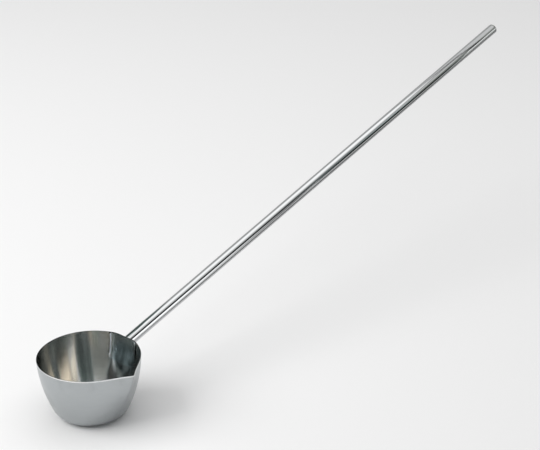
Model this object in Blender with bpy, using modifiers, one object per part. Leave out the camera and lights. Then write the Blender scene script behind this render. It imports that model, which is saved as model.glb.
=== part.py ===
"""Lipped ladle: a drawn stainless bowl with a pinched pouring lip and a long welded tube handle.

Metres, +Z up. The origin is the centre of the bowl's flat base, +X runs out along the
handle, and the pouring lip points to -Y, on the left hand of whoever holds the handle.
"""

import math

import bmesh
import bpy
from mathutils import Matrix, Vector

# Bowl: a drawn cup with a slightly barrelled wall, a round corner and a flat base
RIM_DIAMETER = 0.140
BOWL_HEIGHT = 0.0863
RIM_TAPER = math.radians(2.5)
WALL_BOW_RADIUS = 0.200
BASE_CORNER_RADIUS = 0.0225
SHEET = 0.0012
RIM_ROUNDING = 0.0004

# Pouring lip: pinched out of the rim, sharp at the top, running out down the wall
LIP_AZIMUTH = math.radians(-90.0)
LIP_REACH = 0.015
LIP_SPREAD = 0.0153
LIP_DEPTH = 0.072
LIP_NOSE_RADIUS = 0.001
LIP_TOE_RADIUS = 0.016

# Handle: a straight round tube, coped to the wall and rising outwards
HANDLE_LENGTH = 0.900
HANDLE_DROP = 0.0116
HANDLE_RISE = math.radians(14.0)
TUBE_DIAMETER = 0.016
TUBE_WALL = 0.001

# End cap: a turned plug with a rounded head
CAP_HEAD = 0.0035
CAP_EDGE_RADIUS = 0.003
CAP_SPIGOT = 0.010
CAP_CLEARANCE = 0.0003

# Backing plate inside the bowl, behind the handle, with a bowed lower edge
PLATE_WIDTH = 0.047
PLATE_SIDE = 0.035
PLATE_BOW = 0.005
PLATE_DROP = 0.0005
PLATE_THICKNESS = 0.0012
PLATE_CORNER_RADIUS = 0.002
SEAT_FLATTENING = 0.0012
SEAT_FADE = 0.025

# Welds: a fillet round the tube's foot, and short tacks along the plate's two sides
FILLET_RADIUS = 0.0028
TACK_RADIUS = 0.0019
TACK_LENGTH = 0.0055
UPPER_TACK_DROP = 0.0045
LOWER_TACK_RISE = 0.0025

# Gap left between pieces that touch
SEAM = 0.0003

# Facets
RIM_STEPS = 88
LIP_CROWDING = 0.8
WALL_STEPS = 9
CORNER_STEPS = 8
RIM_ROUNDING_STEPS = 2
TUBE_STEPS = 40
CAP_EDGE_STEPS = 5
PLATE_COLUMNS = 14
PLATE_ROWS = 10
PLATE_BOW_STEPS = 10
PLATE_CORNER_STEPS = 3
FILLET_RESOLUTION = 3
TACK_TURN_STEPS = 12
TACK_END_STEPS = 8
BISECTIONS = 40

# Worked out from the sizes above
RIM_RADIUS = RIM_DIAMETER / 2
TUBE_RADIUS = TUBE_DIAMETER / 2
BORE_RADIUS = TUBE_RADIUS - TUBE_WALL
SEAT_HALF_ANGLE = PLATE_WIDTH / RIM_DIAMETER
BOW_CENTRE = Vector((
    RIM_RADIUS - WALL_BOW_RADIUS * math.cos(RIM_TAPER),
    BOWL_HEIGHT + WALL_BOW_RADIUS * math.sin(RIM_TAPER),
))
CORNER_ANGLE = math.asin((BOW_CENTRE.y - BASE_CORNER_RADIUS) / (WALL_BOW_RADIUS - BASE_CORNER_RADIUS))
CORNER_CENTRE = Vector((
    BOW_CENTRE.x + (WALL_BOW_RADIUS - BASE_CORNER_RADIUS) * math.cos(CORNER_ANGLE),
    BASE_CORNER_RADIUS,
))
HANDLE_WAY = Vector((math.cos(HANDLE_RISE), 0.0, math.sin(HANDLE_RISE)))
WELD_DISTANCE = 1e-6
SHARP_ANGLE = math.radians(35.0)
CORNER_LIMIT = math.radians(55.0)


def clear_scene():
    """Removes every object of the open scene."""
    for obj in list(bpy.data.objects):
        bpy.data.objects.remove(obj, do_unlink=True)


def new_collection(name):
    """A collection linked to the scene."""
    collection = bpy.data.collections.new(name)
    bpy.context.scene.collection.children.link(collection)
    return collection


def steel(name, colour, roughness):
    """Bare stainless steel of one finish."""
    material = bpy.data.materials.new(name)
    material.use_nodes = True
    shader = material.node_tree.nodes["Principled BSDF"]
    shader.inputs["Base Color"].default_value = (*colour, 1.0)
    shader.inputs["Metallic"].default_value = 1.0
    shader.inputs["Roughness"].default_value = roughness
    return material


def add_object(name, data, collection, parent=None):
    """A new object in the collection, at its parent's place if it has one."""
    obj = bpy.data.objects.new(name, data)
    collection.objects.link(obj)
    obj.parent = parent
    return obj


def mesh_object(name, shape, collection, parent=None):
    """An object from a finished bmesh, which is freed."""
    mesh = bpy.data.meshes.new(name)
    shape.to_mesh(mesh)
    shape.free()
    return add_object(name, mesh, collection, parent)


def as_cutter(obj):
    """Marks an object as a helper that only shapes others."""
    obj.hide_render = True
    obj.display_type = "WIRE"
    return obj


def finish_part(obj, material):
    """Gives a part its material and smooth shading."""
    obj.data.materials.append(material)
    obj.data.shade_smooth()
    obj.data.set_sharp_from_angle(angle=SHARP_ANGLE)


def boolean(obj, cutter, operation="DIFFERENCE"):
    """Cuts an object with another, or keeps what they share."""
    modifier = obj.modifiers.new(cutter.name, "BOOLEAN")
    modifier.object = cutter
    modifier.operation = operation
    modifier.solver = "EXACT"


def bevel(obj, width, segments):
    """Rounds an object's sharp edges."""
    modifier = obj.modifiers.new("rounding", "BEVEL")
    modifier.width = width
    modifier.segments = segments
    modifier.limit_method = "ANGLE"
    modifier.angle_limit = CORNER_LIMIT


def solidify(obj, thickness, side):
    """Thickens a surface along its normals (side 1) or against them (side -1)."""
    modifier = obj.modifiers.new("sheet", "SOLIDIFY")
    modifier.thickness = thickness
    modifier.offset = side
    modifier.use_even_offset = True
    modifier.use_quality_normals = True


def mesh_from_curve(curve_object, collection):
    """Replaces a curve object by its welded mesh, so that it can be cut or cut others."""
    name = curve_object.name
    matrix = curve_object.matrix_world.copy()
    curve_object.name = name + "_curve"
    graph = bpy.context.evaluated_depsgraph_get()
    mesh = bpy.data.meshes.new_from_object(curve_object.evaluated_get(graph))
    bpy.data.objects.remove(curve_object, do_unlink=True)
    shape = bmesh.new()
    shape.from_mesh(mesh)
    bmesh.ops.remove_doubles(shape, verts=shape.verts, dist=WELD_DISTANCE)
    bmesh.ops.recalc_face_normals(shape, faces=shape.faces)
    bpy.data.meshes.remove(mesh)
    obj = mesh_object(name, shape, collection)
    obj.matrix_world = matrix
    return obj


def smooth_step(share):
    """0 below 0, 1 above 1, and an even S between them."""
    share = min(max(share, 0.0), 1.0)
    return share * share * (3.0 - 2.0 * share)


def lip_shift(azimuth, depth):
    """How far the lip draws the wall out: a crease with hollow flanks, dying out downwards."""
    down = min(max(depth / LIP_DEPTH, 0.0), 1.0)
    nose = LIP_NOSE_RADIUS + (LIP_TOE_RADIUS - LIP_NOSE_RADIUS) * down ** 3
    aside = RIM_RADIUS * math.remainder(azimuth - LIP_AZIMUTH, math.tau)
    flank = math.exp((nose - math.hypot(aside, nose)) / LIP_SPREAD)
    return LIP_REACH * flank * (1.0 - down) * (1.0 - down ** 3)


def seat_shift(azimuth, depth):
    """How far the handle's seat is pressed in, with the wall springing out at the plate's sides."""
    turn = abs(math.remainder(azimuth, math.tau)) / SEAT_HALF_ANGLE
    if turn > 2.0:
        return 0.0
    fade = 1.0 - smooth_step((depth - PLATE_SIDE) / SEAT_FADE)
    window = 0.5 + 0.5 * math.cos(math.pi * turn / 2.0)
    return -SEAT_FLATTENING * math.cos(math.pi * turn) * window * fade


def wall_shift(azimuth, height):
    """How far the wall stands outside its turned form at a height above the base."""
    depth = BOWL_HEIGHT - height
    return lip_shift(azimuth, depth) + seat_shift(azimuth, depth)


def wall_radius(height, offset):
    """Radius of the turned wall at a height, on the surface that lies offset outside it."""
    bow = WALL_BOW_RADIUS + offset
    corner = BASE_CORNER_RADIUS + offset
    if height > BOW_CENTRE.y - bow * math.sin(CORNER_ANGLE):
        return BOW_CENTRE.x + math.sqrt(bow ** 2 - (BOW_CENTRE.y - height) ** 2)
    return CORNER_CENTRE.x + math.sqrt(max(corner ** 2 - (CORNER_CENTRE.y - height) ** 2, 0.0))


def wall_point(azimuth, height, offset):
    """A point on the formed wall, lip and seat included."""
    radius = wall_radius(height, offset) + wall_shift(azimuth, height)
    return Vector((radius * math.cos(azimuth), radius * math.sin(azimuth), height))


def wall_profile(offset, rise):
    """Half section from above the rim down to the base's centre, offset outside the turned wall."""
    bow = WALL_BOW_RADIUS + offset
    corner = BASE_CORNER_RADIUS + offset
    points = []
    for step in range(WALL_STEPS + 1):
        angle = RIM_TAPER + (CORNER_ANGLE - RIM_TAPER) * step / WALL_STEPS
        points.append(BOW_CENTRE + bow * Vector((math.cos(angle), -math.sin(angle))))
    for step in range(1, CORNER_STEPS + 1):
        angle = CORNER_ANGLE + (math.pi / 2 - CORNER_ANGLE) * step / CORNER_STEPS
        points.append(CORNER_CENTRE + corner * Vector((math.cos(angle), -math.sin(angle))))
    points.append(Vector((0.0, -offset)))
    if rise:
        upwards = Vector((math.sin(RIM_TAPER), math.cos(RIM_TAPER)))
        points.insert(0, points[0] + rise * upwards)
    return points


def formed_cup(offset, rise=0.0):
    """The bowl's wall as an open surface: turned, then drawn out at the lip and pressed at the seat."""
    shape = bmesh.new()
    way = Vector((math.cos(LIP_AZIMUTH), math.sin(LIP_AZIMUTH), 0.0))
    up = Vector((0.0, 0.0, 1.0))
    verts = [shape.verts.new(point.x * way + point.y * up) for point in wall_profile(offset, rise)]
    edges = [shape.edges.new(pair) for pair in zip(verts, verts[1:])]
    bmesh.ops.spin(
        shape, geom=verts + edges, cent=(0, 0, 0), axis=up, angle=math.tau, steps=RIM_STEPS, use_merge=True
    )
    bmesh.ops.remove_doubles(shape, verts=shape.verts, dist=WELD_DISTANCE)
    for vert in shape.verts:
        radius = math.hypot(vert.co.x, vert.co.y)
        if radius < WELD_DISTANCE:
            continue
        turn = math.remainder(math.atan2(vert.co.y, vert.co.x) - LIP_AZIMUTH, math.tau)
        azimuth = LIP_AZIMUTH + turn - LIP_CROWDING * math.sin(turn)
        radius += wall_shift(azimuth, vert.co.z)
        vert.co.x = radius * math.cos(azimuth)
        vert.co.y = radius * math.sin(azimuth)
    bmesh.ops.recalc_face_normals(shape, faces=shape.faces)
    return shape


def cup_volume(name, offset, collection):
    """The space within the wall's offset surface, carried up past the rim, as a cutter."""
    shape = formed_cup(offset, rise=TUBE_DIAMETER)
    rim = [edge for edge in shape.edges if edge.is_boundary]
    bmesh.ops.contextual_create(shape, geom=rim)
    bmesh.ops.recalc_face_normals(shape, faces=shape.faces)
    return as_cutter(mesh_object(name, shape, collection))


def rod(name, radius, start, end, collection, parent):
    """A round bar along its parent's Z axis."""
    shape = bmesh.new()
    bmesh.ops.create_cone(
        shape, cap_ends=True, segments=TUBE_STEPS, radius1=radius, radius2=radius, depth=end - start,
        matrix=Matrix.Translation((0.0, 0.0, (start + end) / 2)),
    )
    return mesh_object(name, shape, collection, parent)


def make_bowl(collection, material):
    """Drawn bowl: the inner surface thickened outwards, with a rounded rim edge."""
    bowl = mesh_object("bowl", formed_cup(-SHEET), collection)
    solidify(bowl, SHEET, 1.0)
    bevel(bowl, RIM_ROUNDING, RIM_ROUNDING_STEPS)
    finish_part(bowl, material)


def make_handle_axis(collection):
    """An empty where the handle's axis meets the wall, its Z along the handle."""
    axis = add_object("handle_axis", None, collection)
    axis.location = wall_point(0.0, BOWL_HEIGHT - HANDLE_DROP, 0.0)
    axis.rotation_mode = "QUATERNION"
    axis.rotation_quaternion = HANDLE_WAY.to_track_quat("Z", "Y")
    bpy.context.view_layer.update()
    return axis


def make_tube(collection, cutters, axis, outside, material):
    """Handle tube: bored through, its foot coped to the bowl's wall."""
    end = HANDLE_LENGTH - CAP_HEAD - SEAM
    tube = rod("handle_tube", TUBE_RADIUS, -TUBE_DIAMETER, end, collection, axis)
    bore = rod("tube_bore", BORE_RADIUS, -2 * TUBE_DIAMETER, end + TUBE_DIAMETER, cutters, axis)
    boolean(tube, as_cutter(bore))
    boolean(tube, outside)
    finish_part(tube, material)


def make_cap(collection, axis, material):
    """End cap: a turned head with a rounded edge and a spigot that enters the tube."""
    spigot = BORE_RADIUS - CAP_CLEARANCE
    edge = min(CAP_EDGE_RADIUS, CAP_HEAD)
    profile = [(0.0, CAP_HEAD)]
    for step in range(CAP_EDGE_STEPS + 1):
        angle = math.pi / 2 * (1.0 - step / CAP_EDGE_STEPS)
        profile.append((
            TUBE_RADIUS - edge + edge * math.cos(angle),
            CAP_HEAD - edge + edge * math.sin(angle),
        ))
    profile += [(TUBE_RADIUS, 0.0), (spigot, 0.0), (spigot, -CAP_SPIGOT), (0.0, -CAP_SPIGOT)]
    shape = bmesh.new()
    verts = [shape.verts.new((radius, 0.0, height)) for radius, height in profile]
    for pair in zip(verts, verts[1:]):
        shape.edges.new(pair)
    cap = mesh_object("end_cap", shape, collection, axis)
    cap.location = (0.0, 0.0, HANDLE_LENGTH - CAP_HEAD)
    turning = cap.modifiers.new("turning", "SCREW")
    turning.steps = TUBE_STEPS
    turning.render_steps = TUBE_STEPS
    turning.use_merge_vertices = True
    turning.merge_threshold = WELD_DISTANCE
    finish_part(cap, material)


def foot_of_tube(angle):
    """The point where one straight line along the tube's outside meets the bowl's wall."""
    side = Vector((0.0, 1.0, 0.0))
    over = side.cross(HANDLE_WAY)
    start = wall_point(0.0, BOWL_HEIGHT - HANDLE_DROP, 0.0)
    start += TUBE_RADIUS * (math.cos(angle) * side + math.sin(angle) * over)
    near, far = -TUBE_DIAMETER, TUBE_DIAMETER
    for _ in range(BISECTIONS):
        middle = (near + far) / 2
        point = start + middle * HANDLE_WAY
        wall = wall_point(math.atan2(point.y, point.x), point.z, 0.0)
        if point.xy.length < wall.xy.length:
            near = middle
        else:
            far = middle
    return start + near * HANDLE_WAY


def make_fillet(collection, cutters, axis, outside, material):
    """Fillet weld: a bead round the tube's foot, cut back to the tube and the wall."""
    path = bpy.data.curves.new("handle_weld", "CURVE")
    path.dimensions = "3D"
    path.bevel_depth = FILLET_RADIUS
    path.bevel_resolution = FILLET_RESOLUTION
    spline = path.splines.new("POLY")
    spline.points.add(TUBE_STEPS - 1)
    spline.use_cyclic_u = True
    for step, point in enumerate(spline.points):
        point.co = (*foot_of_tube(math.tau * step / TUBE_STEPS), 1.0)
    weld = mesh_from_curve(add_object("handle_weld", path, collection), collection)
    sleeve = rod("tube_sleeve", TUBE_RADIUS + SEAM, -TUBE_DIAMETER, TUBE_DIAMETER, cutters, axis)
    boolean(weld, as_cutter(sleeve))
    boolean(weld, outside)
    finish_part(weld, material)


def plate_outline(name, grow, collection):
    """The plate's outline, seen along the handle, as a prism through the bowl's wall."""
    half = PLATE_WIDTH / 2 + grow
    top = BOWL_HEIGHT - PLATE_DROP + grow
    corner = top - PLATE_SIDE - 2 * grow
    bow_radius = (half ** 2 + PLATE_BOW ** 2) / (2 * PLATE_BOW)
    reach = math.asin(half / bow_radius)
    points = [(-half, top), (half, top)]
    for step in range(PLATE_BOW_STEPS + 1):
        angle = reach * (1.0 - 2.0 * step / PLATE_BOW_STEPS)
        points.append((
            bow_radius * math.sin(angle),
            corner - PLATE_BOW + bow_radius * (1.0 - math.cos(angle)),
        ))
    outline = bpy.data.curves.new(name, "CURVE")
    outline.dimensions = "2D"
    outline.fill_mode = "BOTH"
    outline.extrude = RIM_RADIUS / 2
    spline = outline.splines.new("POLY")
    spline.points.add(len(points) - 1)
    spline.use_cyclic_u = True
    for point, (across, height) in zip(spline.points, points):
        point.co = (across, height, 0.0, 1.0)
    curve = add_object(name, outline, collection)
    curve.matrix_world = Matrix(((0, 0, 1, RIM_RADIUS), (1, 0, 0, 0), (0, 1, 0, 0), (0, 0, 0, 1)))
    bpy.context.view_layer.update()
    prism = mesh_from_curve(curve, collection)
    bevel(prism, PLATE_CORNER_RADIUS + grow, PLATE_CORNER_STEPS)
    return as_cutter(prism)


def plate_blank(name, offset, thickness, collection):
    """A curved sheet on the inside of the wall, larger than the plate, thickened inwards."""
    shape = bmesh.new()
    bmesh.ops.create_grid(shape, x_segments=PLATE_COLUMNS, y_segments=PLATE_ROWS, size=0.5)
    spare = PLATE_CORNER_RADIUS + SHEET
    width = PLATE_WIDTH + 2 * spare
    top = BOWL_HEIGHT - PLATE_DROP + spare
    height = PLATE_SIDE + PLATE_BOW + 2 * spare
    for vert in shape.verts:
        level = top - (0.5 - vert.co.y) * height
        azimuth = math.asin(vert.co.x * width / wall_radius(level, offset))
        vert.co = wall_point(azimuth, level, offset)
    bmesh.ops.recalc_face_normals(shape, faces=shape.faces)
    shape.faces.ensure_lookup_table()
    if shape.faces[0].normal.x < 0.0:
        bmesh.ops.reverse_faces(shape, faces=shape.faces)
    blank = mesh_object(name, shape, collection)
    solidify(blank, thickness, -1.0)
    return blank


def make_plate(collection, cutters, material):
    """Backing plate: a sheet bent to the wall, cut to its outline."""
    plate = plate_blank("backing_plate", -SHEET - SEAM, PLATE_THICKNESS, collection)
    boolean(plate, plate_outline("plate_outline", 0.0, cutters), "INTERSECT")
    finish_part(plate, material)


def make_tacks(collection, cutters, inside, material):
    """Tack welds: four short beads in the corners between the plate's sides and the wall."""
    clear = plate_blank("plate_clearance", -SHEET, PLATE_THICKNESS + 2 * TACK_RADIUS, cutters)
    boolean(as_cutter(clear), plate_outline("plate_clearance_outline", SEAM, cutters), "INTERSECT")
    drops = {"upper": UPPER_TACK_DROP, "lower": PLATE_DROP + PLATE_SIDE - LOWER_TACK_RISE}
    for level, drop in drops.items():
        height = BOWL_HEIGHT - drop
        for side, sign in (("left", -1.0), ("right", 1.0)):
            azimuth = sign * math.asin(PLATE_WIDTH / 2 / wall_radius(height, -SHEET))
            shape = bmesh.new()
            bmesh.ops.create_uvsphere(
                shape, u_segments=TACK_TURN_STEPS, v_segments=TACK_END_STEPS, radius=TACK_RADIUS
            )
            stretch = Matrix.Scale(TACK_LENGTH / (2 * TACK_RADIUS), 4, (0.0, 0.0, 1.0))
            turn = Matrix.Rotation(azimuth, 4, "Z")
            bmesh.ops.transform(shape, matrix=turn @ stretch, verts=shape.verts)
            tack = mesh_object(f"tack_weld_{level}_{side}", shape, collection)
            tack.location = wall_point(azimuth, height, -SHEET)
            boolean(tack, inside, "INTERSECT")
            boolean(tack, clear)
            finish_part(tack, material)


def main():
    """Builds the ladle."""
    clear_scene()
    ladle = new_collection("lipped_ladle")
    cutters = new_collection("lipped_ladle_cutters")
    satin = steel("satin_steel", (0.62, 0.63, 0.65), 0.32)
    pressed = steel("pressed_plate_steel", (0.58, 0.58, 0.58), 0.25)
    polished = steel("polished_tube_steel", (0.70, 0.71, 0.72), 0.12)
    turned = steel("turned_cap_steel", (0.68, 0.69, 0.71), 0.16)
    welded = steel("weld_steel", (0.48, 0.46, 0.44), 0.42)
    outside = cup_volume("wall_outside", SEAM, cutters)
    inside = cup_volume("wall_inside", -SHEET - SEAM, cutters)
    make_bowl(ladle, satin)
    axis = make_handle_axis(ladle)
    make_tube(ladle, cutters, axis, outside, polished)
    make_cap(ladle, axis, turned)
    make_fillet(ladle, cutters, axis, outside, welded)
    make_plate(ladle, cutters, pressed)
    make_tacks(ladle, cutters, inside, welded)


main()
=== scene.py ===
"""Lipped ladle: the finished surfaces, set in a plain studio.

A drawn stainless bowl with a pinched pouring lip, a backing plate tacked inside it and a long
polished tube welded to its wall. Metres, +Z up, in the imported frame's own axes: the origin is the
centre of the bowl's base, +X runs out along the handle and the lip points to -Y.
"""

import logging
import math
from collections.abc import Sequence
from dataclasses import dataclass
from enum import Enum
from functools import cache

import bmesh
import bpy
import numpy as np
from mathutils import Matrix, Vector

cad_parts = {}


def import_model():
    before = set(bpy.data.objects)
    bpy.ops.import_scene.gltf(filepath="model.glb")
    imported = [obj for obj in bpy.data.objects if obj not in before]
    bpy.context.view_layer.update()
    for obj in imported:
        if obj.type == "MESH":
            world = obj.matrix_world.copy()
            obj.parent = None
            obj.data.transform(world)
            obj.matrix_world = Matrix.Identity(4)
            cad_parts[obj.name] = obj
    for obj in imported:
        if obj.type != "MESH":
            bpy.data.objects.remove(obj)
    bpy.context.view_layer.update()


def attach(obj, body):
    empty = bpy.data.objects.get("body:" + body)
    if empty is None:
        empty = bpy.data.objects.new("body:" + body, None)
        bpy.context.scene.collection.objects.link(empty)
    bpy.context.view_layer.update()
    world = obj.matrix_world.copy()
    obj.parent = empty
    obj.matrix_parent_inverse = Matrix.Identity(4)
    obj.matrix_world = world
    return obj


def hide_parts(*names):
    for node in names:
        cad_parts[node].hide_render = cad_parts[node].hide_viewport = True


LOG = logging.getLogger("lipped_ladle")
BODY = "root"
HEAT = "heat"
SHARP_ANGLE = math.radians(40.0)

# Step between the points that a wall's normal is worked out from, in metres and in radians
PROBE_STEP = 1e-5
# Share of a card's facing along Z above which it counts as lying flat
STEEP = 0.99
# Range that most of a noise texture's values lie in
NOISE_BAND = (0.25, 0.75)
# Turn of the shader's anisotropy that spreads a highlight across the turned lines
ACROSS_THE_TURN = 0.25
# Sockets of a Mix node that is set to colours
MIX_SHARE, MIX_FIRST, MIX_SECOND, MIX_RESULT = 0, 6, 7, 2

Colour = tuple[float, float, float]
Point = tuple[float, float, float]


class Slot(Enum):
    """The record's material slots."""

    BOWL = "bowl_steel"
    PLATE = "plate_steel"
    TUBE = "tube_steel"
    CAP = "cap_steel"
    WELD = "weld_steel"


# Node groups


def add_node(tree: bpy.types.NodeTree, kind: str, **settings: object) -> bpy.types.Node:
    """A new node with its settings.

    Args:
        tree: the node tree that takes the node.
        kind: Blender's type name of the node.
        settings: attributes to set on the node.

    Returns:
        The node.
    """
    node = tree.nodes.new(kind)
    for name, value in settings.items():
        setattr(node, name, value)
    return node


def feed(tree: bpy.types.NodeTree, socket: bpy.types.NodeSocket, value: object) -> None:
    """Links an output to a socket, or sets the socket to a plain value.

    Args:
        tree: the node tree of both.
        socket: the input socket.
        value: an output socket, a number or a vector.
    """
    if isinstance(value, bpy.types.NodeSocket):
        tree.links.new(value, socket)
    else:
        socket.default_value = value


def calculate(tree: bpy.types.NodeTree, operation: str, *values: object) -> bpy.types.NodeSocket:
    """A Math node.

    Args:
        tree: the node tree.
        operation: Blender's name of the operation.
        values: outputs or numbers, in order.

    Returns:
        The node's output.
    """
    node = add_node(tree, "ShaderNodeMath", operation=operation)
    for socket, value in zip(node.inputs, values):
        feed(tree, socket, value)
    return node.outputs[0]


def spread(
    tree: bpy.types.NodeTree, value: object, source: tuple[object, object], target: tuple[object, object]
) -> bpy.types.NodeSocket:
    """A smooth Map Range node.

    Args:
        tree: the node tree.
        value: the value to map.
        source: the range that it comes from.
        target: the range that it goes to.

    Returns:
        The mapped value.
    """
    node = add_node(tree, "ShaderNodeMapRange", interpolation_type="SMOOTHSTEP")
    for socket, part in zip(node.inputs, (value, *source, *target)):
        feed(tree, socket, part)
    return node.outputs[0]


def noise(
    tree: bpy.types.NodeTree, vector: bpy.types.NodeSocket, scale: object, detail: float
) -> bpy.types.NodeSocket:
    """A Noise Texture node's value.

    Args:
        tree: the node tree.
        vector: the coordinates.
        scale: the texture's scale.
        detail: the number of octaves.

    Returns:
        The noise, about 0 to 1.
    """
    node = add_node(tree, "ShaderNodeTexNoise")
    feed(tree, node.inputs["Vector"], vector)
    feed(tree, node.inputs["Scale"], scale)
    feed(tree, node.inputs["Detail"], detail)
    return node.outputs["Fac"]


def object_place(tree: bpy.types.NodeTree) -> bpy.types.NodeSocket:
    """Coordinates in the piece's own axes."""
    return add_node(tree, "ShaderNodeTexCoord").outputs["Object"]


def axes_of(tree: bpy.types.NodeTree, vector: bpy.types.NodeSocket) -> tuple[bpy.types.NodeSocket, ...]:
    """A Separate XYZ node.

    Args:
        tree: the node tree.
        vector: the vector.

    Returns:
        The vector's X, Y and Z.
    """
    node = add_node(tree, "ShaderNodeSeparateXYZ")
    feed(tree, node.inputs[0], vector)
    return tuple(node.outputs)


def shifted(
    tree: bpy.types.NodeTree, vector: bpy.types.NodeSocket, seed: bpy.types.NodeSocket
) -> bpy.types.NodeSocket:
    """Coordinates moved by a seed, so that the marks of two finishes differ.

    Args:
        tree: the node tree.
        vector: the coordinates.
        seed: the distance to move them by, along each axis.

    Returns:
        The moved coordinates.
    """
    node = add_node(tree, "ShaderNodeVectorMath", operation="ADD")
    feed(tree, node.inputs[0], vector)
    feed(tree, node.inputs[1], seed)
    return node.outputs[0]


def distance(
    tree: bpy.types.NodeTree, first: bpy.types.NodeSocket, second: bpy.types.NodeSocket
) -> bpy.types.NodeSocket:
    """The distance that two steps at right angles make.

    Args:
        tree: the node tree.
        first: the one step.
        second: the other step.

    Returns:
        The distance.
    """
    squares = [calculate(tree, "MULTIPLY", step, step) for step in (first, second)]
    return calculate(tree, "SQRT", calculate(tree, "ADD", *squares))


def scaled(tree: bpy.types.NodeTree, vector: object, scale: bpy.types.NodeSocket) -> bpy.types.NodeSocket:
    """A colour or vector times a number.

    Args:
        tree: the node tree.
        vector: the colour or vector.
        scale: the number.

    Returns:
        The scaled colour or vector.
    """
    node = add_node(tree, "ShaderNodeVectorMath", operation="SCALE")
    feed(tree, node.inputs[0], vector)
    feed(tree, node.inputs["Scale"], scale)
    return node.outputs[0]


def multiplied(
    tree: bpy.types.NodeTree, share: object, first: bpy.types.NodeSocket, second: object
) -> bpy.types.NodeSocket:
    """A Mix node that multiplies two colours.

    Args:
        tree: the node tree.
        share: how much of the second colour takes effect, 0 to 1.
        first: the first colour.
        second: the second colour.

    Returns:
        The mixed colour.
    """
    node = add_node(tree, "ShaderNodeMix", data_type="RGBA", blend_type="MULTIPLY")
    feed(tree, node.inputs[MIX_SHARE], share)
    feed(tree, node.inputs[MIX_FIRST], first)
    feed(tree, node.inputs[MIX_SECOND], second)
    return node.outputs[MIX_RESULT]


def new_group(
    name: str, inputs: dict[str, float], outputs: dict[str, str]
) -> tuple[bpy.types.NodeTree, bpy.types.Node, bpy.types.Node]:
    """An empty shader node group with named sockets.

    Args:
        name: the group's name.
        inputs: its number inputs and their values.
        outputs: its outputs and their socket types.

    Returns:
        The tree, its input node and its output node.
    """
    tree = bpy.data.node_groups.new(name, "ShaderNodeTree")
    for label, value in inputs.items():
        socket = tree.interface.new_socket(label, in_out="INPUT", socket_type="NodeSocketFloat")
        socket.default_value = value
    for label, kind in outputs.items():
        tree.interface.new_socket(label, in_out="OUTPUT", socket_type=kind)
    return tree, add_node(tree, "NodeGroupInput"), add_node(tree, "NodeGroupOutput")


@cache
def turned_grain() -> bpy.types.NodeTree:
    """Polishing lines that run round the piece's own Z axis.

    Returns:
        A group with the lines' Height and a broader Tone.
    """
    least_radius = 1e-5
    line_octaves = 3.0
    tone_share, tone_octaves = 0.08, 2.0
    tree, given, made = new_group(
        "turned_grain",
        {"Lines": 3000.0, "Breaks": 4.0, "Seed": 0.0},
        {"Height": "NodeSocketFloat", "Tone": "NodeSocketFloat"},
    )
    x, y, z = axes_of(tree, object_place(tree))
    radius = calculate(tree, "MAXIMUM", distance(tree, x, y), least_radius)
    across = calculate(tree, "ADD", z, radius)

    def lines(share: float, octaves: float) -> bpy.types.NodeSocket:
        """Noise that is long round the axis and short across the lines.

        Args:
            share: how many lines there are, as a share of the group's Lines.
            octaves: the noise's number of octaves.

        Returns:
            The noise.
        """
        turn = calculate(tree, "DIVIDE", given.outputs["Breaks"], radius)
        rate = calculate(tree, "MULTIPLY", given.outputs["Lines"], share)
        vector = add_node(tree, "ShaderNodeCombineXYZ")
        feed(tree, vector.inputs["X"], calculate(tree, "MULTIPLY", x, turn))
        feed(tree, vector.inputs["Y"], calculate(tree, "MULTIPLY", y, turn))
        feed(tree, vector.inputs["Z"], calculate(tree, "MULTIPLY_ADD", across, rate, given.outputs["Seed"]))
        return noise(tree, vector.outputs[0], 1.0, octaves)

    feed(tree, made.inputs["Height"], lines(1.0, line_octaves))
    feed(tree, made.inputs["Tone"], lines(tone_share, tone_octaves))
    return tree


@cache
def handling_haze() -> bpy.types.NodeTree:
    """Soft dull patches, as wiping and handling leave on bare steel.

    Returns:
        A group with the patches as a Mask.
    """
    patch_octaves, patch_softness = 3.0, 0.22
    clear_level, amount_share = 0.75, 0.4
    speckle_rate, speckle_octaves = 9.0, 2.0
    speckle_noise, speckle_mask = (0.2, 0.7), (0.4, 1.0)
    tree, given, made = new_group(
        "handling_haze", {"Patches": 20.0, "Amount": 0.5, "Seed": 0.0}, {"Mask": "NodeSocketFloat"}
    )
    place = shifted(tree, object_place(tree), given.outputs["Seed"])
    broad = noise(tree, place, given.outputs["Patches"], patch_octaves)
    drop = calculate(tree, "MULTIPLY", given.outputs["Amount"], amount_share)
    level = calculate(tree, "SUBTRACT", clear_level, drop)
    patch = spread(tree, broad, (level, calculate(tree, "ADD", level, patch_softness)), (0.0, 1.0))
    rate = calculate(tree, "MULTIPLY", given.outputs["Patches"], speckle_rate)
    speckle = spread(tree, noise(tree, place, rate, speckle_octaves), speckle_noise, speckle_mask)
    feed(tree, made.inputs["Mask"], calculate(tree, "MULTIPLY", patch, speckle))
    return tree


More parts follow.
